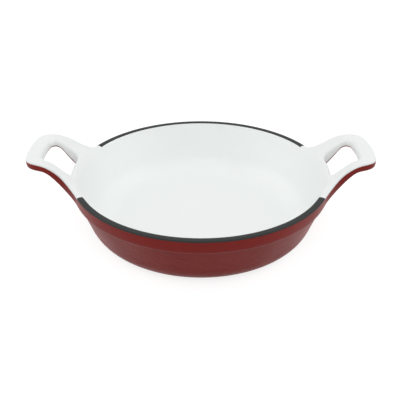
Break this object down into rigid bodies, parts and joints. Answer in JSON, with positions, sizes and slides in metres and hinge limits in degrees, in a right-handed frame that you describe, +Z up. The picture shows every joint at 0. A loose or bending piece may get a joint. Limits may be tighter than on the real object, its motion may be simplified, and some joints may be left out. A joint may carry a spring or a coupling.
{
  "type": "enamelled cast-iron serving dish",
  "caption": "Small round enamelled cast-iron skillet dish with a leaning wall, thick rim band and a raised loop handle with a finger hole on each side.",
  "frame": {"origin": "centre of the bowl on the surface it stands on", "axes": "+Z up along the bowl's axis; +X towards one loop handle and -X towards the other; +Y away from the viewer of the picture"},
  "size_m": [0.2174, 0.165, 0.0534],
  "materials": {
    "bare_iron": "ground bare on the foot ring",
    "white_enamel": "glossy fired enamel",
    "red_enamel": "glossy fired enamel",
    "black_enamel": "satin fired enamel"
  },
  "bodies": {
    "root": {"iron_casting": "bare_iron", "white_enamel_lining": "white_enamel", "red_enamel_shell": "red_enamel", "red_enamel_base": "red_enamel", "rim_enamel_front": "black_enamel", "rim_enamel_back": "black_enamel"}
  },
  "joints": []
}
